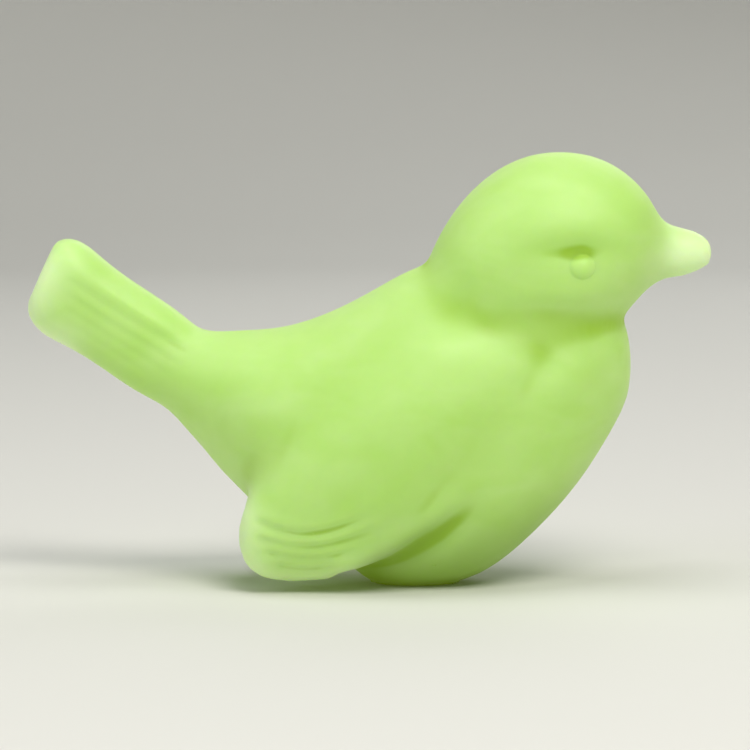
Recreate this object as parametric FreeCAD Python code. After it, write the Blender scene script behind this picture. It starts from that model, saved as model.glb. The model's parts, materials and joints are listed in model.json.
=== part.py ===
"""A press-moulded glass bird ornament: one solid piece of satin glass that stands on a flat ground base.

Millimetres. +X points to the beak, +Z up, and both sides of the XZ plane are alike. The origin is the
centre of the ground base. Each mass (trunk, tail, neck, head, beak, drooping wing, eye bead) is made as
the left half that one side of the mould gives. The halves are fused into one solid.
"""

import FreeCAD
import Part

import math
import os

# Trunk: the egg of breast, belly and rump.
TRUNK_LENGTH = 118.0  # from the breast to the end that is buried in the tail
BASE_ALONG = 0.4407  # the ground base is centred at this share of the trunk's length, from the breast
BREAST_REACH = BASE_ALONG * TRUNK_LENGTH  # foremost point of the breast
TRUNK_HEIGHT = 77.8  # base to the highest point of the shoulders
TRUNK_WIDTH = 54.0

# Wings: one thick leaf on each flank, from the shoulder to a drooping tip that stands clear of the trunk.
WINGS_WIDTH = 61.5  # over both wings
WING_THICKNESS = 18.0  # of which about half is buried in the trunk
WING_BOW = 9.0  # how far the upper rim leans in, so that it sinks into the back
WING_LENGTH = 76.1  # from the shoulder to the rearmost point of the tip
WING_START = 0.15  # the shoulder lies behind the breast by this share of the trunk's length
WING_WIDEST = 0.47  # share of the wing's height at which it stands out furthest
WING_SQUARENESS = 2.2

# Tail: a thick paddle that rises behind the rump.
TAIL_LENGTH = 39.0  # from the end of the rump to the cut end, along the tail
TAIL_SLANT = 0.17  # the cut end leans back by this share of its depth
TAIL_RISE = 34.0  # degrees
TAIL_DEPTH = 22.5  # from the upper to the lower edge
TAIL_WIDTH = 18.0
TAIL_SQUARENESS = 2.6  # its cross-section is between an ellipse and a box
TAIL_SEAT_LENGTH = 0.93  # its axis leaves the rump at these shares of the trunk's length
TAIL_SEAT_HEIGHT = 0.682  # and height

# Head, neck, beak and eyes.
HEAD_LENGTH = 58.5
HEAD_HEIGHT = 50.0
HEAD_WIDTH = 46.0
HEAD_OVERHANG = 8.5  # forehead ahead of the breast
HEAD_RISE = 25.8  # crown above the shoulders
FOREHEAD = BREAST_REACH + HEAD_OVERHANG
CROWN = TRUNK_HEIGHT + HEAD_RISE
NECK_LENGTH = 48.0
NECK_DEPTH = 44.0
NECK_WIDTH = 42.0
NECK_SETBACK = 3.5  # throat behind the foremost point of the breast
NECK_SINK = 14.5  # middle of the neck below the shoulders
BEAK_LENGTH = 10.8  # forehead to tip
BEAK_DEPTH = 15.4
BEAK_WIDTH = 14.5
BEAK_DROP = 0.48  # crown to the beak's axis, as a share of the head's height
EYE_DIAMETER = 5.4
EYE_SETBACK = 21.6  # forehead to the middle of the eye
EYE_DROP = 26.2  # crown to the middle of the eye
EYE_PROUD = 0.7  # height of the bead above the cheek

ELLIPSE = 2.0  # squareness of a section that is an ellipse
SECTION_POINTS = 24  # points round a cross-section
LOWER_BOW = 0.4  # lean of a section's lower rim against its upper rim
LOFT_DEGREE = 3
FAR = 400.0  # larger than the bird, for cutting shapes


def section(x, top, bottom, half_width, widest=0.5, squareness=ELLIPSE, aside=0.0, bow=0.0):
    """A closed cross-section at x, which starts on the right side, away from the half that is kept.

    widest is the share of its height at which it is widest, aside is the distance of its middle from the XZ
    plane, and bow is how far its upper rim leans in towards that plane.
    """
    middle = bottom + widest * (top - bottom)
    points = []
    for n in range(SECTION_POINTS):
        angle = 2 * math.pi * n / SECTION_POINTS
        across = -math.copysign(abs(math.cos(angle)) ** (2 / squareness), math.cos(angle))
        up = math.copysign(abs(math.sin(angle)) ** (2 / squareness), math.sin(angle))
        reach = (top - middle) if up > 0 else (middle - bottom)
        lean = bow * up * up * (1.0 if up > 0 else LOWER_BOW)
        points.append(FreeCAD.Vector(x, aside + half_width * across - lean, middle + reach * up))
    curve = Part.BSplineCurve()
    curve.interpolate(Points=points, PeriodicFlag=True)
    return Part.Wire(curve.toShape())


def rounded_mass(profiles):
    """The rounded solid through profiles, which run towards -X from vertex to vertex."""
    return Part.makeLoft(profiles, True, False, False, LOFT_DEGREE)


def left_half(mass):
    keep = Part.makeBox(2 * FAR, FAR, 2 * FAR, FreeCAD.Vector(-FAR, 0, -FAR))
    return mass.common(keep)


def trunk():
    # shares: of the length from the breast, top and bottom of the height, width, height of the widest line.
    # A bottom below 0 is what grinding takes off.
    stations = [
        (0.006, 0.755, 0.600, 0.16, 0.48),
        (0.030, 0.850, 0.505, 0.40, 0.48),
        (0.075, 0.925, 0.388, 0.60, 0.48),
        (0.145, 0.975, 0.245, 0.79, 0.47),
        (0.235, 1.000, 0.108, 0.92, 0.46),
        (0.330, 1.000, 0.016, 0.99, 0.45),
        (0.430, 0.980, -0.0130, 1.00, 0.45),
        (0.530, 0.903, 0.0045, 0.99, 0.46),
        (0.620, 0.835, 0.072, 0.95, 0.48),
        (0.710, 0.793, 0.168, 0.85, 0.52),
        (0.800, 0.785, 0.293, 0.67, 0.55),
        (0.880, 0.772, 0.425, 0.50, 0.56),
        (0.950, 0.740, 0.545, 0.34, 0.54),
        (0.990, 0.690, 0.610, 0.16, 0.50),
    ]
    foremost = Part.Vertex(BREAST_REACH, 0, 0.675 * TRUNK_HEIGHT)
    rearmost = Part.Vertex(BREAST_REACH - TRUNK_LENGTH, 0, 0.65 * TRUNK_HEIGHT)
    profiles = [foremost]
    for along, top, bottom, wide, widest in stations:
        x = BREAST_REACH - along * TRUNK_LENGTH
        half_width = wide * TRUNK_WIDTH / 2
        profiles.append(section(x, top * TRUNK_HEIGHT, bottom * TRUNK_HEIGHT, half_width, widest))
    profiles.append(rearmost)
    return left_half(rounded_mass(profiles))


def head():
    # shares: of the length from the forehead, top and bottom of the height from the crown, width
    stations = [
        (0.010, 0.39, 0.56, 0.20),
        (0.045, 0.28, 0.62, 0.44),
        (0.110, 0.172, 0.69, 0.67),
        (0.200, 0.080, 0.80, 0.84),
        (0.310, 0.021, 0.90, 0.95),
        (0.430, 0.000, 0.96, 1.00),
        (0.560, 0.016, 0.99, 1.00),
        (0.690, 0.081, 0.99, 0.97),
        (0.810, 0.195, 0.96, 0.89),
        (0.910, 0.350, 0.91, 0.73),
        (0.970, 0.490, 0.84, 0.46),
        (0.992, 0.580, 0.77, 0.22),
    ]
    foremost = Part.Vertex(FOREHEAD, 0, CROWN - 0.49 * HEAD_HEIGHT)
    rearmost = Part.Vertex(FOREHEAD - HEAD_LENGTH, 0, CROWN - 0.68 * HEAD_HEIGHT)
    profiles = [foremost]
    for along, top, bottom, wide in stations:
        x = FOREHEAD - along * HEAD_LENGTH
        half_width = wide * HEAD_WIDTH / 2
        profiles.append(section(x, CROWN - top * HEAD_HEIGHT, CROWN - bottom * HEAD_HEIGHT, half_width))
    profiles.append(rearmost)
    return left_half(rounded_mass(profiles))


def beak():
    # shares: of the length from the tip, top and bottom of the depth from the axis, width
    stations = [
        (0.02, 0.09, -0.10, 0.20),
        (0.10, 0.19, -0.20, 0.41),
        (0.30, 0.30, -0.28, 0.60),
        (0.65, 0.38, -0.37, 0.78),
        (1.10, 0.47, -0.44, 0.94),
        (1.60, 0.56, -0.56, 1.00),
        (2.10, 0.50, -0.50, 0.90),
    ]
    buried = 2.3 * BEAK_LENGTH  # from the tip to the end inside the head
    tip = FOREHEAD + BEAK_LENGTH
    axis = CROWN - BEAK_DROP * HEAD_HEIGHT
    profiles = [Part.Vertex(tip, 0, axis)]
    for along, top, bottom, wide in stations:
        x = tip - along * BEAK_LENGTH
        half_width = wide * BEAK_WIDTH / 2
        profiles.append(section(x, axis + top * BEAK_DEPTH, axis + bottom * BEAK_DEPTH, half_width))
    profiles.append(Part.Vertex(tip - buried, 0, axis))
    return left_half(rounded_mass(profiles))


def tail():
    # shares: of the length from the rump to the cut end, half the depth, width
    stations = [
        (-0.33, 0.34, 0.60),
        (-0.05, 0.455, 0.95),
        (0.30, 0.48, 0.97),
        (0.65, 0.495, 1.00),
        (0.888, 0.50, 0.98),
        (0.958, 0.43, 0.80),
        (0.986, 0.30, 0.50),
    ]
    buried = 0.40 * TAIL_LENGTH  # from the rump to the end inside the trunk
    profiles = [Part.Vertex(buried, 0, 0)]
    for along, deep, wide in stations:
        edge = deep * TAIL_DEPTH
        half_width = wide * TAIL_WIDTH / 2
        profiles.append(section(-along * TAIL_LENGTH, edge, -edge, half_width, squareness=TAIL_SQUARENESS))
    profiles.append(Part.Vertex(-TAIL_LENGTH, 0, 0))
    slant = FreeCAD.Matrix()
    slant.A13 = -TAIL_SLANT
    paddle = left_half(rounded_mass(profiles)).transformGeometry(slant)
    x = BREAST_REACH - TAIL_SEAT_LENGTH * TRUNK_LENGTH
    rump = FreeCAD.Vector(x, 0, TAIL_SEAT_HEIGHT * TRUNK_HEIGHT)
    paddle.rotate(FreeCAD.Vector(0, 0, 0), FreeCAD.Vector(0, 1, 0), TAIL_RISE)
    paddle.translate(rump)
    return paddle


def neck():
    """What fills the crease between head and shoulders, all inside their outline seen from the side."""
    # shares: of the length from the throat, top and bottom of the depth from its middle, width
    stations = [
        (0.03, 0.16, -0.20, 0.30),
        (0.12, 0.30, -0.36, 0.60),
        (0.30, 0.44, -0.48, 0.88),
        (0.50, 0.50, -0.50, 1.00),
        (0.70, 0.46, -0.48, 0.96),
        (0.88, 0.28, -0.40, 0.74),
        (0.97, 0.08, -0.26, 0.40),
    ]
    throat = BREAST_REACH - NECK_SETBACK
    middle = TRUNK_HEIGHT - NECK_SINK
    nape = Part.Vertex(throat - NECK_LENGTH, 0, middle - 0.1 * NECK_DEPTH)
    profiles = [Part.Vertex(throat, 0, middle)]
    for along, top, bottom, wide in stations:
        x = throat - along * NECK_LENGTH
        half_width = wide * NECK_WIDTH / 2
        profiles.append(section(x, middle + top * NECK_DEPTH, middle + bottom * NECK_DEPTH, half_width))
    profiles.append(nape)
    return left_half(rounded_mass(profiles))


def wing():
    """The left wing: a thick leaf from the shoulder, which stands clear of the trunk towards its tip."""
    # shares: of the length from the shoulder to the tip, upper and lower edge of the trunk's height, of the
    # wing's thickness, how far its outer face stands inside the wings' half width, and of the bow
    stations = [
        (0.06, 0.80, 0.50, 0.70, 0.28, 0.5),
        (0.20, 0.87, 0.365, 0.90, 0.14, 1.0),
        (0.34, 0.88, 0.240, 0.96, 0.05, 1.0),
        (0.50, 0.84, 0.117, 1.00, 0.00, 1.0),
        (0.65, 0.77, 0.054, 1.00, 0.01, 1.0),
        (0.79, 0.66, 0.034, 0.96, 0.06, 0.9),
        (0.885, 0.50, 0.036, 0.88, 0.12, 0.6),
        (0.945, 0.37, 0.056, 0.74, 0.18, 0.3),
        (0.985, 0.265, 0.100, 0.46, 0.27, 0.0),
    ]
    half = WINGS_WIDTH / 2
    shoulder = BREAST_REACH - WING_START * TRUNK_LENGTH
    front = Part.Vertex(shoulder, 0.5 * half, 0.66 * TRUNK_HEIGHT)
    tip = Part.Vertex(shoulder - WING_LENGTH, 0.58 * half, 0.175 * TRUNK_HEIGHT)
    profiles = [front]
    for along, top, bottom, thick, inside, bowed in stations:
        x = shoulder - along * WING_LENGTH
        upper = top * TRUNK_HEIGHT
        lower = bottom * TRUNK_HEIGHT
        half_width = thick * WING_THICKNESS / 2
        aside = (1 - inside) * half - half_width
        bow = bowed * WING_BOW
        profiles.append(section(x, upper, lower, half_width, WING_WIDEST, WING_SQUARENESS, aside, bow))
    profiles.append(tip)
    return rounded_mass(profiles)


def eye(skull):
    """The left eye bead, set into the side of the skull."""
    place = FreeCAD.Vector(FOREHEAD - EYE_SETBACK, 0, CROWN - EYE_DROP)
    sight = Part.makeLine(place, place + FreeCAD.Vector(0, FAR, 0))
    cheek = skull.common(sight).BoundBox.YMax
    bead = Part.makeSphere(EYE_DIAMETER / 2)
    bead.translate(place + FreeCAD.Vector(0, cheek + EYE_PROUD - EYE_DIAMETER / 2, 0))
    return bead


def bird():
    """Both halves fused, and the belly ground flat on the plane of the table."""
    half = trunk()
    skull = head()
    for mass in (tail(), neck(), skull, beak(), wing(), eye(skull)):
        half = half.fuse(mass)
    underside = Part.makeBox(2 * FAR, FAR, FAR, FreeCAD.Vector(-FAR, 0, -FAR))
    half = half.cut(underside)
    other = half.mirror(FreeCAD.Vector(0, 0, 0), FreeCAD.Vector(0, 1, 0))
    (whole,) = half.fuse(other).Solids  # more than one here would mean that a mass has come loose
    return whole


os.makedirs("parts", exist_ok=True)
bird().exportStep("parts/glass_bird.step")
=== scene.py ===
"""A pressed satin-glass bird: the skin of the glass, its moulded relief, its satin finish and a soft studio.

Metres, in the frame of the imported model: +X to the beak, +Z up, the ground base on the plane of the table.
The sculpting values are in millimetres and are turned to metres where they are used.
"""

import json
import math

import bpy
import numpy as np
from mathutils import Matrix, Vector

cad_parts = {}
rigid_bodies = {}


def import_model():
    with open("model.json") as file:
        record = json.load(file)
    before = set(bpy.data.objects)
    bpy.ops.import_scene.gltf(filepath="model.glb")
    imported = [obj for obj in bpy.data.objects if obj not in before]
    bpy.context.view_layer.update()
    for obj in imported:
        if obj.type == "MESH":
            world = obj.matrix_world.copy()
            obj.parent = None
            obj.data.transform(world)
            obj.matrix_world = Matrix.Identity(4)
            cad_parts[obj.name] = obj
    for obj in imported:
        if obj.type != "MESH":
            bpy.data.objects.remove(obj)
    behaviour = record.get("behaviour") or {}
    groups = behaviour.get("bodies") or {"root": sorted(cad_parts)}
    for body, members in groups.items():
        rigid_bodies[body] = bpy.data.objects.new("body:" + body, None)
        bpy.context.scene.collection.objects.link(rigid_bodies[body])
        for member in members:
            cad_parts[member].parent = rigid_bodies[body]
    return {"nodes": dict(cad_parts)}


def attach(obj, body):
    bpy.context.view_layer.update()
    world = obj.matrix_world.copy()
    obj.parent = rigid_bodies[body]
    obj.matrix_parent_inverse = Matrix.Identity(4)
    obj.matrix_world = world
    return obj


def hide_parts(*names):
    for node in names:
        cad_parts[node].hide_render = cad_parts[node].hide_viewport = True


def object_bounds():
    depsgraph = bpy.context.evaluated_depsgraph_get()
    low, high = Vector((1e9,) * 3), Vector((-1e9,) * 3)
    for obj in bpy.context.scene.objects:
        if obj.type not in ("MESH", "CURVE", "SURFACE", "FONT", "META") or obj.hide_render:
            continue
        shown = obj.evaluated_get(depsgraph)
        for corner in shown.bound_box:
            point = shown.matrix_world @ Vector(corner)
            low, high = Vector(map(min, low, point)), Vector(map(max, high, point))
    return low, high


bl_info = {
    "name": "Pressed Glass Bird",
    "version": (1, 0, 0),
    "blender": (4, 5, 0),
    "location": "3D View > Sidebar > Glass Bird",
    "description": "Sculpts the moulded relief of a satin glass bird and sets it in a soft studio",
    "category": "Object",
}

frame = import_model()
CAD_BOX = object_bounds()
CAD_NODE = "glass_bird"
MM = 0.001
EYE = (38.9, 77.4)  # middle of the eye bead in the side view, in millimetres
SOCKET_DEPTH = 0.95  # of the hollow round the eye bead, in millimetres
FLAT_PATCH = (10.5, 6.5)  # half length and half width of the patch kept flat on the table, in millimetres
WELD_DISTANCE = 0.02 * MM
BASE_TOLERANCE = 0.02 * MM
FRAMED_WIDTH = 0.1801  # of the bird's middle plane, in metres
AIM_OFFSET = (1.2, 0, -1.7)  # of the camera's aim from the middle of the bird's box, in millimetres


# ---------------------------------------------------------------- small helpers


def hex_colour(code):
    """An sRGB hex colour as linear red, green, blue and alpha."""
    channels = [int(code[i : i + 2], 16) / 255 for i in (1, 3, 5)]
    linear = [c / 12.92 if c <= 0.04045 else ((c + 0.055) / 1.055) ** 2.4 for c in channels]
    return (*linear, 1.0)


def add_node(tree, kind, settings=None, links=None):
    """A shader node with its properties or input values set, and its inputs linked from other outputs."""
    node = tree.nodes.new(kind)
    for key, value in (settings or {}).items():
        if isinstance(key, str) and hasattr(node, key):
            setattr(node, key, value)
        else:
            node.inputs[key].default_value = value
    for key, output in (links or {}).items():
        tree.links.new(output, node.inputs[key])
    return node


def deselect_all():
    for obj in bpy.context.view_layer.objects:
        obj.select_set(False)


def make_active(obj):
    deselect_all()
    obj.select_set(True)
    bpy.context.view_layer.objects.active = obj


def apply_modifier(obj, name, kind, **settings):
    """Adds a modifier with its settings and applies it."""
    make_active(obj)
    modifier = obj.modifiers.new(name, kind)
    for key, value in settings.items():
        setattr(modifier, key, value)
    bpy.ops.object.modifier_apply(modifier=name)


def smooth_curve(points, per_span=60):
    """Points along a Catmull-Rom curve through the given ones."""
    p = np.array([points[0], *points, points[-1]], float)
    share = np.linspace(0, 1, per_span, endpoint=False)[:, None]
    spans = []
    for a, b, c, d in zip(p[:-3], p[1:-2], p[2:-1], p[3:]):
        bend = 2 * b + (c - a) * share + (2 * a - 5 * b + 4 * c - d) * share**2
        spans.append(0.5 * (bend + (3 * b - a - 3 * c + d) * share**3))
    return np.vstack([*spans, p[-1:]])


def smooth_step(low, high, value):
    share = np.clip((value - low) / (high - low), 0, 1)
    return share * share * (3 - 2 * share)


class Clay:
    """The vertices of a skin in millimetres, with both flanks folded onto one side view (x along, z up)."""

    def __init__(self, obj):
        self.mesh = obj.data
        count = len(self.mesh.vertices)
        co = np.empty(count * 3)
        normal = np.empty(count * 3)
        self.mesh.vertices.foreach_get("co", co)
        self.mesh.vertices.foreach_get("normal", normal)
        self.co = co.reshape(-1, 3) / MM
        self.normal = normal.reshape(-1, 3)
        self.side = np.column_stack([self.co[:, 0], self.co[:, 2]])
        self.out = np.abs(self.co[:, 1])

    def write(self):
        self.mesh.vertices.foreach_set("co", (self.co * MM).ravel())
        self.mesh.update()

    def near(self, points, width, fade=(0.0, 0.0)):
        """How near each vertex is to a line drawn on the side view: 1 on it, a bell of that width across it.

        fade is the share of the line over which it dies away at its start and at its end.
        """
        line = smooth_curve(points) if len(points) > 1 else np.array(points, float)
        nearest = np.full(len(self.side), np.inf)
        along = np.zeros(len(self.side))
        for n, point in enumerate(line):
            gap = ((self.side - point) ** 2).sum(1)
            closer = gap < nearest
            nearest[closer] = gap[closer]
            along[closer] = n / max(1, len(line) - 1)
        weight = np.exp(-nearest / width**2)
        if fade[0] > 0:
            weight *= smooth_step(0, fade[0], along)
        if fade[1] > 0:
            weight *= smooth_step(0, fade[1], 1 - along)
        return weight

    def push(self, amount):
        """Moves each vertex by that many millimetres along the skin's broad normal."""
        broad = self.averaged(self.normal, 24)
        broad /= np.maximum(np.linalg.norm(broad, axis=1, keepdims=True), 1e-6)
        self.co += broad * amount[:, None]

    def averaged(self, values, passes):
        """Three values on each vertex, after averaging them with its neighbours' that many times."""
        ends = np.empty(len(self.mesh.edges) * 2, np.int64)
        self.mesh.edges.foreach_get("vertices", ends)
        a, b = ends.reshape(-1, 2).T
        total = len(values)
        degree = np.bincount(a, minlength=total) + np.bincount(b, minlength=total)
        result = values.copy()
        for _ in range(passes):
            for axis in range(3):
                value = result[:, axis]
                summed = np.bincount(a, value[b], total) + np.bincount(b, value[a], total)
                result[:, axis] = summed / np.maximum(degree, 1)
        return result


# ---------------------------------------------------------------- settings


class GlassBirdSettings(bpy.types.PropertyGroup):
    """Sizes of the moulded relief."""

    voxel: bpy.props.FloatProperty(
        name="Skin detail",
        description="Size of the coarse skin's faces, before they are split in four",
        default=1.3 * MM,
        unit="LENGTH",
    )
    relief: bpy.props.FloatProperty(
        name="Relief",
        description="Strength of the moulded head and breast forms, 1 being as pressed",
        default=1.0,
    )
    feather_depth: bpy.props.FloatProperty(
        name="Feather grooves",
        description="Depth of the grooves of the wing and tail feathers",
        default=0.50 * MM,
        unit="LENGTH",
    )
    eye_radius: bpy.props.FloatProperty(
        name="Eye radius",
        description="Radius of the raised eye bead",
        default=2.9 * MM,
        unit="LENGTH",
    )
    eye_height: bpy.props.FloatProperty(
        name="Eye height",
        description="How far the eye bead stands up from its socket",
        default=1.0 * MM,
        unit="LENGTH",
    )


class SatinGlassSettings(bpy.types.PropertyGroup):
    """Colours of the glass, with the painted shade and the painted rim light."""

    body: bpy.props.FloatVectorProperty(
        name="Glass",
        description="Colour of the glass on its broad faces",
        subtype="COLOR",
        size=4,
        default=hex_colour("#ABD672"),
    )
    # Painted shade: the darker green that hollows and valleys are painted with, where shade falls on them.
    hollow: bpy.props.FloatVectorProperty(
        name="Hollows",
        description="Colour in the hollows, where the light crosses more glass",
        subtype="COLOR",
        size=4,
        default=hex_colour("#8CBA0C"),
    )
    # Painted shade: the dark green painted under the belly, which faces the table and away from the lamps.
    belly_shade: bpy.props.FloatVectorProperty(
        name="Underside",
        description="Colour under the belly, where daylight has crossed the whole body",
        subtype="COLOR",
        size=4,
        default=hex_colour("#5F8A1E"),
    )
    # Milky streaks' tone and ground base's tint, and a painted rim light on the beak, tail end and wing tips.
    rim: bpy.props.FloatVectorProperty(
        name="Thin rims",
        description="Colour where the glass is thin and the etched skin scatters most of the light",
        subtype="COLOR",
        size=4,
        default=hex_colour("#DDF2C4"),
    )
    glow: bpy.props.FloatProperty(
        name="Glow",
        description="Strength of the emission that stands in for light scattered deep in the glass",
        default=0.10,
    )


class StudioSettings(bpy.types.PropertyGroup):
    """The floor, lights and camera."""

    floor: bpy.props.FloatVectorProperty(
        name="Floor",
        description="Colour of the seamless floor",
        subtype="COLOR",
        size=4,
        default=hex_colour("#D9D9D4"),
    )
    camera_distance: bpy.props.FloatProperty(
        name="Camera distance",
        description="From the point it looks at, near the bird's middle",
        default=0.90,
        unit="LENGTH",
    )
    camera_elevation: bpy.props.FloatProperty(
        name="Camera elevation",
        description="Angle above the table",
        default=math.radians(5.0),
        subtype="ANGLE",
    )


# ---------------------------------------------------------------- satin glass


def satin_glass(settings):
    """Pressed lime-green glass with a satin skin.

    The skin spreads every highlight into a broad soft sheen. Light wanders a few millimetres inside before it
    leaves, and a little emission stands in for what travels further. Painted shade darkens the colour in the
    hollows and under the belly, and a painted rim light pales it at the beak tip, the tail end and the wing
    tips.
    """
    material = bpy.data.materials.new("satin_etched_pressed_glass")
    material.use_nodes = True
    tree = material.node_tree
    tree.nodes.clear()
    place = add_node(tree, "ShaderNodeTexCoord")
    at = place.outputs["Object"]

    # Streaks of slightly milkier glass, about 25 mm long, and a cloud about 9 mm across.
    streak_place = add_node(tree, "ShaderNodeMapping", {"Scale": (1.0, 1.4, 2.2)}, {"Vector": at})
    streaks = add_node(
        tree,
        "ShaderNodeTexNoise",
        {"Scale": 1 / (25 * MM), "Detail": 2.0, "Roughness": 0.5, "Distortion": 0.6},
        {"Vector": streak_place.outputs["Vector"]},
    )
    cloud = add_node(tree, "ShaderNodeTexNoise", {"Scale": 1 / (9 * MM), "Detail": 3.0}, {"Vector": at})
    mixed = add_node(
        tree,
        "ShaderNodeMath",
        {"operation": "MULTIPLY_ADD", 1: 0.35},
        {0: cloud.outputs["Fac"], 2: streaks.outputs["Fac"]},
    )
    milk = add_node(
        tree,
        "ShaderNodeMapRange",
        {"From Min": 0.45, "From Max": 0.95, "To Min": 0.0, "To Max": 0.22},
        {"Value": mixed.outputs["Value"]},
    )
    milky = add_node(
        tree,
        "ShaderNodeMix",
        {"data_type": "RGBA", 6: settings.body, 7: settings.rim},
        {0: milk.outputs["Result"]},
    )

    # The skin's own curve, stored on the mesh in millimetres: above 0 in hollows, below 0 on rims and ridges.
    # The close curve masks the painted shade in small hollows and sets the gloss; the broad one, in valleys.
    curve = add_node(tree, "ShaderNodeAttribute", {"attribute_name": "hollow"})
    broad = add_node(tree, "ShaderNodeAttribute", {"attribute_name": "valley_shade"})
    # Painted shade: small hollows and broad valleys are darkened towards the hollows' colour.
    hollow_shade_mask = add_node(
        tree,
        "ShaderNodeMapRange",
        {"interpolation_type": "SMOOTHSTEP", "From Min": 0.0, "From Max": 0.26, "To Max": 0.8},
        {"Value": curve.outputs["Fac"]},
    )
    valley_shade_mask = add_node(
        tree,
        "ShaderNodeMapRange",
        {"interpolation_type": "SMOOTHSTEP", "From Min": -0.6, "From Max": 1.3, "To Max": 0.45},
        {"Value": broad.outputs["Fac"]},
    )
    # Painted rim light: the beak tip, the tail's cut end and the wing tips are paled towards the rim colour.
    thin = add_node(tree, "ShaderNodeAttribute", {"attribute_name": "thin"})
    pale = add_node(
        tree,
        "ShaderNodeMix",
        {"data_type": "RGBA", 7: settings.rim},
        {0: thin.outputs["Fac"], 6: milky.outputs[2]},
    )
    deep = add_node(
        tree,
        "ShaderNodeMix",
        {"data_type": "RGBA", 7: settings.hollow},
        {0: valley_shade_mask.outputs["Result"], 6: pale.outputs[2]},
    )
    hollow_shaded = add_node(
        tree,
        "ShaderNodeMix",
        {"data_type": "RGBA", 7: settings.hollow},
        {0: hollow_shade_mask.outputs["Result"], 6: deep.outputs[2]},
    )
    # Painted shade under the belly, strongest where the skin faces the table.
    under = add_node(tree, "ShaderNodeAttribute", {"attribute_name": "belly_shade"})
    colour = add_node(
        tree,
        "ShaderNodeMix",
        {"data_type": "RGBA", 7: settings.belly_shade},
        {0: under.outputs["Fac"], 6: hollow_shaded.outputs[2]},
    )

    # Satin grain, coarser than a real etched skin's so that it shows at all.
    grain = add_node(tree, "ShaderNodeTexNoise", {"Scale": 1 / (0.35 * MM), "Detail": 2.0}, {"Vector": at})
    # Ripples of the pressed skin, about 7 mm apart and very shallow.
    ripple = add_node(tree, "ShaderNodeTexNoise", {"Scale": 1 / (7 * MM), "Detail": 1.0}, {"Vector": at})
    # A few pinhead pits, as open bubbles leave.
    cells = add_node(
        tree,
        "ShaderNodeTexVoronoi",
        {"feature": "F1", "Scale": 1 / (17 * MM), "Randomness": 1.0},
        {"Vector": at},
    )
    seeds = add_node(
        tree,
        "ShaderNodeMapRange",
        {"From Min": 0.020, "From Max": 0.034, "To Min": -1.0, "To Max": 0.0},
        {"Value": cells.outputs["Distance"]},
    )
    ripple_bump = add_node(
        tree,
        "ShaderNodeBump",
        {"Strength": 0.25, "Distance": 0.30 * MM},
        {"Height": ripple.outputs["Fac"]},
    )
    grain_bump = add_node(
        tree,
        "ShaderNodeBump",
        {"Strength": 0.16, "Distance": 0.05 * MM},
        {"Height": grain.outputs["Fac"], "Normal": ripple_bump.outputs["Normal"]},
    )
    seed_bump = add_node(
        tree,
        "ShaderNodeBump",
        {"Strength": 0.6, "Distance": 0.15 * MM},
        {"Height": seeds.outputs["Result"], "Normal": grain_bump.outputs["Normal"]},
    )

    # The ridges are a little glossier than the hollows, and the grain breaks the sheen up.
    sheen_base = add_node(
        tree,
        "ShaderNodeMapRange",
        {"From Min": -1.0, "From Max": 0.3, "To Min": 0.40, "To Max": 0.56},
        {"Value": curve.outputs["Fac"]},
    )
    roughness = add_node(
        tree,
        "ShaderNodeMath",
        {"operation": "MULTIPLY_ADD", 1: 0.08},
        {0: grain.outputs["Fac"], 2: sheen_base.outputs["Result"]},
    )
    glass = add_node(
        tree,
        "ShaderNodeBsdfPrincipled",
        {
            "IOR": 1.51,
            "Subsurface Weight": 1.0,
            "Subsurface Radius": (1.0, 1.25, 0.45),
            "Subsurface Scale": 3.0 * MM,
            "Sheen Weight": 0.10,
            "Sheen Roughness": 0.45,
            "Sheen Tint": hex_colour("#E6F5EC"),
            "Emission Color": hex_colour("#BCD800"),
            "Emission Strength": settings.glow,
        },
        {
            "Base Color": colour.outputs[2],
            "Roughness": roughness.outputs["Value"],
            "Normal": seed_bump.outputs["Normal"],
        },
    )
    add_node(tree, "ShaderNodeOutputMaterial", None, {"Surface": glass.outputs["BSDF"]})
    return material


def ground_glass(settings):
    """The same glass on the flat base: paler, matt, with ring scratches."""
    material = bpy.data.materials.new("wheel_ground_glass")
    material.use_nodes = True
    tree = material.node_tree
    tree.nodes.clear()
    place = add_node(tree, "ShaderNodeTexCoord")
    # Rings about 3 mm apart round the middle of the base: one wave of this texture is 0.314 / Scale wide.
    rings = add_node(
        tree,
        "ShaderNodeTexWave",
        {"wave_type": "RINGS", "rings_direction": "Z", "Scale": 100.0, "Distortion": 1.5},
        {"Vector": place.outputs["Object"]},
    )
    bump = add_node(
        tree,
        "ShaderNodeBump",
        {"Strength": 0.3, "Distance": 0.05 * MM},
        {"Height": rings.outputs["Fac"]},
    )
    tint = add_node(
        tree,
        "ShaderNodeMix",
        {"data_type": "RGBA", 6: settings.rim, 7: settings.body},
        {0: rings.outputs["Fac"]},
    )
    glass = add_node(
        tree,
        "ShaderNodeBsdfPrincipled",
        {
            "IOR": 1.51,
            "Roughness": 0.65,
            "Subsurface Weight": 1.0,
            "Subsurface Radius": (1.0, 1.25, 0.45),
            "Subsurface Scale": 3.0 * MM,
        },
        {"Base Color": tint.outputs[2], "Normal": bump.outputs["Normal"]},
    )
    add_node(tree, "ShaderNodeOutputMaterial", None, {"Surface": glass.outputs["BSDF"]})
    return material


# ---------------------------------------------------------------- the bird's skin


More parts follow.
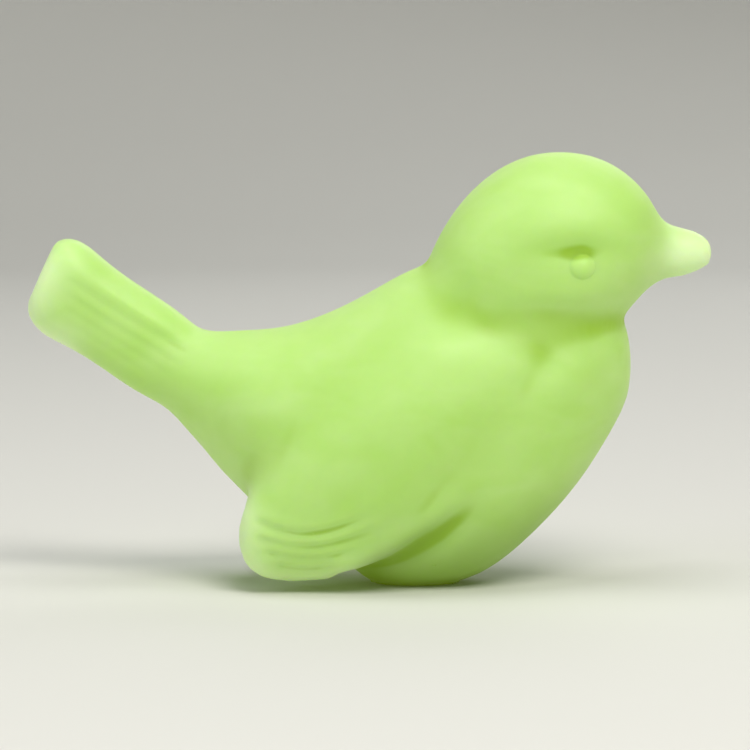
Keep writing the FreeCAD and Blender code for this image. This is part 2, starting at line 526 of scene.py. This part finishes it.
def copy_skin(node, name, voxel):
    """A closed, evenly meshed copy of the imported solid."""
    skin = bpy.data.objects.new(name, node.data.copy())
    bpy.context.scene.collection.objects.link(skin)
    skin.data.materials.clear()
    make_active(skin)
    bpy.ops.object.mode_set(mode="EDIT")
    bpy.ops.mesh.select_all(action="SELECT")
    bpy.ops.mesh.remove_doubles(threshold=WELD_DISTANCE)
    bpy.ops.object.mode_set(mode="OBJECT")
    apply_modifier(skin, "even_skin", "REMESH", mode="VOXEL", voxel_size=voxel, use_smooth_shade=True)
    return skin


def soften(skin, name, weights, passes):
    """Smooths the skin by each vertex's weight, 0 to 1, that many times."""
    group = skin.vertex_groups.new(name=name)
    steps = np.round(np.clip(weights, 0, 1) * 20).astype(int)
    for step in range(1, 21):
        chosen = np.nonzero(steps == step)[0]
        if len(chosen):
            group.add(chosen.tolist(), step / 20, "REPLACE")
    apply_modifier(skin, name, "SMOOTH", factor=0.5, iterations=passes, vertex_group=name)
    skin.vertex_groups.remove(skin.vertex_groups[name])


def soften_joins(skin):
    """Melts the joins between the masses, as the glass flows round a mould's rounded corners."""
    clay = Clay(skin)
    off_middle = smooth_step(2, 12, clay.out)
    on_flank = smooth_step(8, 14, clay.out)
    neck = clay.near([(4, 74), (8, 66), (16, 62), (30, 58), (42, 61), (50, 63)], 8.0) * off_middle
    shoulder = clay.near([(30, 50), (18, 60), (2, 62), (-14, 56), (-24, 48)], 9.0) * on_flank
    flank = clay.near([(30, 46), (24, 38), (16, 29), (9, 23.5)], 6.0) * on_flank
    wing_root = 0.7 * clay.near([(-38, 25), (-34, 30), (-31, 35)], 5.0)
    rump = clay.near([(-46, 60), (-54, 50), (-58, 42)], 7.0) * (0.3 + 0.7 * smooth_step(1, 6, clay.out))
    under_tail = clay.near([(-59, 40), (-52, 33)], 5.0) * 0.6
    beak_root = clay.near([(56, 86), (57, 78), (56, 71)], 4.0) * 0.7
    weights = np.max([neck, shoulder, flank, wing_root, rump, under_tail, beak_root], axis=0)
    soften(skin, "joins", np.clip(1.6 * weights, 0, 1), 90)


def soften_crossings(skin):
    """Melts the places where strokes cross or end against each other."""
    clay = Clay(skin)
    breast = clay.near([(25, 60), (30, 57), (35, 59)], 6.0)
    nape = 0.8 * clay.near([(6, 67), (10, 64.5)], 4.0)
    wing_front = 0.8 * clay.near([(10, 24), (16, 28)], 3.5)
    wing_back = 0.8 * clay.near([(-38, 25), (-35, 29)], 3.5)
    weights = np.max([breast, nape, wing_front, wing_back], axis=0) * smooth_step(6, 12, clay.out)
    soften(skin, "crossings", np.clip(1.5 * weights, 0, 1), 90)


def sculpt_head(clay, relief):
    """Eye line, brow, cheek, throat and nape: grooves below 0 and swellings above it."""
    eye_line = clay.near([(20, 80.4), (28, 81.2), (37, 82.0), (46, 81.4), (55, 80.0)], 2.8, (0.45, 0.3))
    brow = clay.near([(18, 86.0), (34, 88.5), (50, 86.5)], 4.6, (0.4, 0.4))
    cheek = clay.near([(12, 69.0), (22, 70.4), (32, 71.0), (42, 72.0), (50, 73.6)], 3.8, (0.35, 0.35))
    throat_line = [(6, 66.2), (12.5, 63.8), (18.5, 61.6), (24.5, 59.6), (30, 58.7)]
    throat_line += [(36, 59.6), (43, 61.4), (52, 64.2)]
    throat = clay.near(throat_line, 4.2, (0.5, 0.1))
    nape = clay.near([(5.0, 72.5), (6.5, 68.5), (10, 65.0)], 3.4, (0.5, 0.3))
    lift = -0.50 * eye_line + 0.40 * brow + 0.85 * cheek - 0.45 * throat - 0.15 * nape
    clay.push(lift * relief * smooth_step(2, 9, clay.out))


def sculpt_breast(clay, relief):
    """Shoulders, the two breast muscles, and the furrow between them."""
    shoulder = clay.near([(6, 57.5), (14, 58.0), (21, 56.5)], 5.5)
    muscle = clay.near([(45, 57.0), (37, 53.0), (33, 45), (30, 35)], 5.0, (0.0, 0.6))
    furrow = clay.near([(31, 58.6), (28, 53.8), (25.6, 49), (24, 44), (23, 38)], 3.4, (0.1, 0.75))
    lift = 0.75 * shoulder + 0.85 * muscle - 0.50 * furrow
    clay.push(lift * relief * smooth_step(3, 10, clay.out))


def sculpt_wing(clay, depth):
    """The wing's lower rim over the belly, the step behind it and the four feather rows at its tip."""
    lift = np.zeros(len(clay.co))
    on_flank = smooth_step(10, 16, clay.out)
    rim = [(16, 27.0), (11, 21.8), (4, 15.4), (-4, 10.4), (-13, 6.4), (-22, 4.0)]
    inside = [(x - 1.7, z + 2.4) for x, z in rim]
    outside = [(x + 1.5, z - 2.2) for x, z in rim]
    lift += 1.0 * clay.near(inside, 2.4, (0.35, 0.25)) * on_flank
    lift -= 1.3 * clay.near(outside, 2.8, (0.45, 0.1))
    back = [(-38.5, 23.5), (-36, 26.8), (-33, 30.2), (-30.8, 34.5), (-29.3, 40), (-28.6, 46), (-28.8, 53)]
    lift -= 0.35 * clay.near(back, 2.8, (0.1, 0.75))
    rows = [
        [(-38.5, 18.4), (-33, 16.2), (-27, 15.0), (-20, 16.0), (-15.5, 17.8), (-8, 21.6)],
        [(-38.5, 14.2), (-31, 12.2), (-24, 11.7), (-17, 13.3), (-7, 17.4)],
        [(-36.5, 10.6), (-28.5, 8.9), (-21.5, 9.0), (-11.5, 12.0)],
        [(-33.5, 7.2), (-26.0, 5.9), (-18.0, 7.0)],
    ]
    for row, strength in zip(rows, (1.0, 1.1, 1.1, 1.0)):
        lift -= depth * strength * clay.near(row, 1.35, (0.12, 0.3)) * on_flank
        ridge = [(x, z + 2.0) for x, z in row]
        lift += 0.5 * depth * strength * clay.near(ridge, 1.4, (0.12, 0.3)) * on_flank
    clay.push(lift)


def sculpt_tail(clay, depth):
    """Long parallel feather grooves on the lower part of each face, and the ridge above them."""
    lift = np.zeros(len(clay.co))
    grooves = [
        ([(-84, 74.6), (-67, 63.6), (-50, 54.0)], 0.6),
        ([(-84.5, 71.0), (-69, 61.0), (-53, 51.6)], 0.55),
        ([(-85, 67.8), (-71, 58.8), (-57, 50.2)], 0.5),
        ([(-84.5, 64.4), (-72.5, 56.6), (-61, 49.4)], 0.4),
    ]
    for groove, strength in grooves:
        lift -= depth * strength * clay.near(groove, 1.2, (0.25, 0.35))
    lift += 0.3 * depth * clay.near([(-84, 78.0), (-66, 66.4), (-50, 57.2)], 1.5, (0.2, 0.4))
    clay.push(lift * smooth_step(2.5, 5.5, clay.out))


def sculpt_sockets(clay, radius):
    """The hollow round the eye bead on each side, and the lid's crease over it."""
    x, z = EYE
    socket = clay.near([EYE], 1.5 * radius)
    lid = [(x - 14, z + 1.6), (x - 6, z + 2.5), (x, z + 3.2), (x + 7, z + 2.0)]
    crease = clay.near(lid, 0.8 * radius, (0.5, 0.4))
    clay.push(-SOCKET_DEPTH * (0.85 * socket + 0.65 * crease) * smooth_step(8, 12, clay.out))


def refine_round_eyes(skin, reach):
    """Splits the faces round both eyes in nine, so that the small bead comes out round."""
    centre = face_centres(skin.data) / MM
    gap = np.hypot(centre[:, 0] - EYE[0], centre[:, 2] - EYE[1])
    chosen = (gap < reach) & (np.abs(centre[:, 1]) > 8)
    skin.data.polygons.foreach_set("select", chosen)
    make_active(skin)
    bpy.ops.object.mode_set(mode="EDIT")
    bpy.ops.mesh.select_mode(type="FACE")
    bpy.ops.mesh.subdivide(number_cuts=2, smoothness=1.0)
    bpy.ops.object.mode_set(mode="OBJECT")


def sculpt_beads(clay, radius, height):
    """The raised eye bead on each side: a low dome with a rounded foot."""
    gap = np.hypot(clay.side[:, 0] - EYE[0], clay.side[:, 1] - EYE[1])
    dome = np.clip(1 - (gap / radius) ** 2, 0, 1) ** 0.75
    clay.push(height * dome * smooth_step(8, 12, clay.out))


def flatten_base(clay):
    """Keeps the flat base on the plane of the table, and nothing below it."""
    half_length, half_width = FLAT_PATCH
    inside = (clay.co[:, 0] / half_length) ** 2 + (clay.co[:, 1] / half_width) ** 2 < 1
    low = clay.co[:, 2] < 2
    clay.co[:, 2] = np.where(inside & low, 0.0, np.maximum(clay.co[:, 2], 0.0))


def store_colour_guides(skin):
    """Stores on the mesh what the glass's colour follows, mostly masks for painted shade and painted rim
    light.

    How hollow (above 0) or ridged (below 0) the skin is, closely and broadly, in mm: masks for the painted
    shade in hollows and valleys; the close one also sets the gloss.
    How far the skin of the belly faces the table: the mask for the painted shade under the belly.
    How near the skin is to the beak's tip, the tail's cut end and the wing tips: the mask for the painted rim
    light.
    """
    clay = Clay(skin)
    normal_passes, close_passes, broad_passes = 60, 30, 220
    broad_normal = clay.averaged(clay.normal, normal_passes)
    # Painted shade under the belly: low, down-facing skin ahead of the wing tips.
    belly = smooth_step(34, 12, clay.co[:, 2]) * smooth_step(-18, -8, clay.co[:, 0])
    # Painted rim light at the beak tip, the tail's cut end and the wing tips, where the glass is thin.
    beak_tip = clay.near([(73, 79), (64, 79)], 6.0)
    tail_end = clay.near([(-90, 76), (-94, 62), (-86, 57)], 6.5)
    wing_tip = clay.near([(-41, 19), (-40, 8), (-33, 2), (-20, 2), (-6, 8)], 4.5)
    wing_tip *= smooth_step(10, 16, clay.out)
    layers = {
        # The close and broad hollowness below mask the painted shade in hollows and valleys.
        "hollow": ((clay.averaged(clay.co, close_passes) - clay.co) * clay.normal).sum(1),
        "valley_shade": ((clay.averaged(clay.co, broad_passes) - clay.co) * clay.normal).sum(1),
        "belly_shade": 0.75 * smooth_step(0.15, 0.95, -broad_normal[:, 2]) * belly,
        "thin": np.max([0.95 * beak_tip, 0.85 * tail_end, 0.65 * wing_tip], axis=0),
    }
    for name, values in layers.items():
        attribute = skin.data.attributes.new(name, "FLOAT", "POINT")
        attribute.data.foreach_set("value", values.astype(np.float32))


def face_centres(mesh):
    centre = np.empty(len(mesh.polygons) * 3)
    mesh.polygons.foreach_get("center", centre)
    return centre.reshape(-1, 3)


class BIRD_OT_glass_bird(bpy.types.Operator):
    """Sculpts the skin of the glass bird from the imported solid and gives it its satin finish"""

    bl_idname = "bird.glass_bird"
    bl_label = "Glass bird"

    def execute(self, context):
        bird = context.scene.glass_bird
        glass = context.scene.satin_glass
        skin = copy_skin(frame["nodes"][CAD_NODE], "satin_glass_bird", bird.voxel)
        everywhere = np.ones(len(skin.data.vertices))
        soften(skin, "voxel_steps", everywhere, 4)
        soften_joins(skin)
        apply_modifier(skin, "finer_skin", "SUBSURF", levels=1)
        everywhere = np.ones(len(skin.data.vertices))
        depth = bird.feather_depth / MM
        for sculpt, amount in (
            (sculpt_head, bird.relief),
            (sculpt_sockets, bird.eye_radius / MM),
            (sculpt_breast, bird.relief),
            (sculpt_wing, depth),
            (sculpt_tail, depth),
        ):
            clay = Clay(skin)
            sculpt(clay, amount)
            clay.write()
        soften(skin, "tool_marks", everywhere, 1)
        soften_crossings(skin)
        store_colour_guides(skin)
        radius = bird.eye_radius / MM
        refine_round_eyes(skin, 3 * radius)
        clay = Clay(skin)
        sculpt_beads(clay, radius, bird.eye_height / MM)
        flatten_base(clay)
        clay.write()
        skin.data.materials.append(satin_glass(glass))
        skin.data.materials.append(ground_glass(glass))
        centre = face_centres(skin.data)
        on_base = (centre[:, 2] < BASE_TOLERANCE).astype(np.int32)
        skin.data.polygons.foreach_set("material_index", on_base)
        make_active(skin)
        bpy.ops.object.shade_smooth()
        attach(skin, "root")
        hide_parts(CAD_NODE)
        return {"FINISHED"}


# ---------------------------------------------------------------- the studio


def matt_paper(colour):
    """Seamless background paper, quite matt."""
    material = bpy.data.materials.new("seamless_paper")
    material.use_nodes = True
    tree = material.node_tree
    tree.nodes.clear()
    paper = add_node(tree, "ShaderNodeBsdfPrincipled", {"Base Color": colour, "Roughness": 0.9})
    add_node(tree, "ShaderNodeOutputMaterial", None, {"Surface": paper.outputs["BSDF"]})
    return material


def paper_bowl(colour):
    """A round sheet of pale paper that curves up all round, so that no view has a horizon."""
    flat_radius, wall_radius, height = 1.3, 2.6, 2.6
    deselect_all()
    bpy.ops.mesh.primitive_circle_add(vertices=96, radius=flat_radius, fill_type="NGON", location=(0, 0, 0))
    floor = bpy.context.object
    floor.name = "paper_floor"
    bpy.ops.object.mode_set(mode="EDIT")
    bpy.ops.mesh.select_mode(type="EDGE")
    bpy.ops.mesh.select_all(action="SELECT")
    bpy.ops.mesh.region_to_loop()
    steps = 14
    reach, lift = flat_radius, 0.0
    for step in range(1, steps + 1):
        turn = 0.5 * math.pi * step / steps
        next_reach = flat_radius + (wall_radius - flat_radius) * math.sin(turn)
        next_lift = height * (1 - math.cos(turn))
        bpy.ops.mesh.extrude_edges_move(TRANSFORM_OT_translate={"value": (0, 0, next_lift - lift)})
        grow = next_reach / reach
        bpy.ops.transform.resize(value=(grow, grow, 1), center_override=(0, 0, 0))
        reach, lift = next_reach, next_lift
    bpy.ops.mesh.select_all(action="SELECT")
    bpy.ops.mesh.normals_make_consistent(inside=True)
    bpy.ops.object.mode_set(mode="OBJECT")
    bpy.ops.object.shade_smooth()
    floor.data.materials.append(matt_paper(colour))


def soft_box(name, place, target, size, power, colour):
    """A square soft box that faces a point."""
    data = bpy.data.lights.new(name, "AREA")
    data.shape = "SQUARE"
    data.size = size
    data.energy = power
    data.color = hex_colour(colour)[:3]
    lamp = bpy.data.objects.new(name, data)
    lamp.location = place
    lamp.rotation_euler = (Vector(target) - Vector(place)).to_track_quat("-Z", "Y").to_euler()
    bpy.context.scene.collection.objects.link(lamp)


class BIRD_OT_studio(bpy.types.Operator):
    """Sets the bird on pale seamless paper under soft boxes, with the camera a little above its flank"""

    bl_idname = "bird.studio"
    bl_label = "Studio"

    def execute(self, context):
        studio = context.scene.bird_studio
        low, high = Vector(CAD_BOX[0]), Vector(CAD_BOX[1])
        middle = (low + high) / 2
        paper_bowl(studio.floor)
        soft_box("key_soft_box", (0.40, -0.95, 1.25), middle, size=0.7, power=16.5, colour="#FFFBF4")
        soft_box("top_soft_box", (-0.1, -0.1, 1.4), middle, size=0.8, power=7.0, colour="#FFFFFF")
        soft_box("fill_soft_box", (-1.2, -0.8, 0.7), middle, size=0.9, power=4.0, colour="#F4F8FF")
        soft_box("rear_soft_box", (0.4, 1.2, 0.9), middle, size=0.9, power=4.0, colour="#FFFFFF")

        world = bpy.data.worlds.new("pale_room")
        world.use_nodes = True
        background = world.node_tree.nodes["Background"]
        background.inputs["Color"].default_value = hex_colour("#F3F4F2")
        background.inputs["Strength"].default_value = 0.22
        context.scene.world = world

        data = bpy.data.cameras.new("camera")
        data.sensor_width = 36.0
        data.lens = data.sensor_width * studio.camera_distance / FRAMED_WIDTH
        camera = bpy.data.objects.new("camera", data)
        target = middle + Vector(AIM_OFFSET) * MM
        back = Vector((0, -math.cos(studio.camera_elevation), math.sin(studio.camera_elevation)))
        camera.location = target + back * studio.camera_distance
        camera.rotation_euler = (target - camera.location).to_track_quat("-Z", "Y").to_euler()
        context.scene.collection.objects.link(camera)
        context.scene.camera = camera
        context.scene.view_settings.view_transform = "Standard"
        return {"FINISHED"}


# ---------------------------------------------------------------- panel and registration


class BIRD_PT_panel(bpy.types.Panel):
    """Lists the bird's settings and operators"""

    bl_idname = "BIRD_PT_panel"
    bl_label = "Glass Bird"
    bl_space_type = "VIEW_3D"
    bl_region_type = "UI"
    bl_category = "Glass Bird"

    def draw(self, context):
        for group in ("glass_bird", "satin_glass", "bird_studio"):
            settings = getattr(context.scene, group)
            box = self.layout.box()
            for name in settings.__annotations__:
                box.prop(settings, name)
        self.layout.operator(BIRD_OT_glass_bird.bl_idname)
        self.layout.operator(BIRD_OT_studio.bl_idname)


CLASSES = (
    GlassBirdSettings,
    SatinGlassSettings,
    StudioSettings,
    BIRD_OT_glass_bird,
    BIRD_OT_studio,
    BIRD_PT_panel,
)


def register():
    for cls in CLASSES:
        bpy.utils.register_class(cls)
    bpy.types.Scene.glass_bird = bpy.props.PointerProperty(type=GlassBirdSettings)
    bpy.types.Scene.satin_glass = bpy.props.PointerProperty(type=SatinGlassSettings)
    bpy.types.Scene.bird_studio = bpy.props.PointerProperty(type=StudioSettings)


def unregister():
    del bpy.types.Scene.bird_studio
    del bpy.types.Scene.satin_glass
    del bpy.types.Scene.glass_bird
    for cls in reversed(CLASSES):
        bpy.utils.unregister_class(cls)


def main():
    register()
    bpy.ops.bird.glass_bird()
    bpy.ops.bird.studio()


if __name__ == "__main__":
    main()
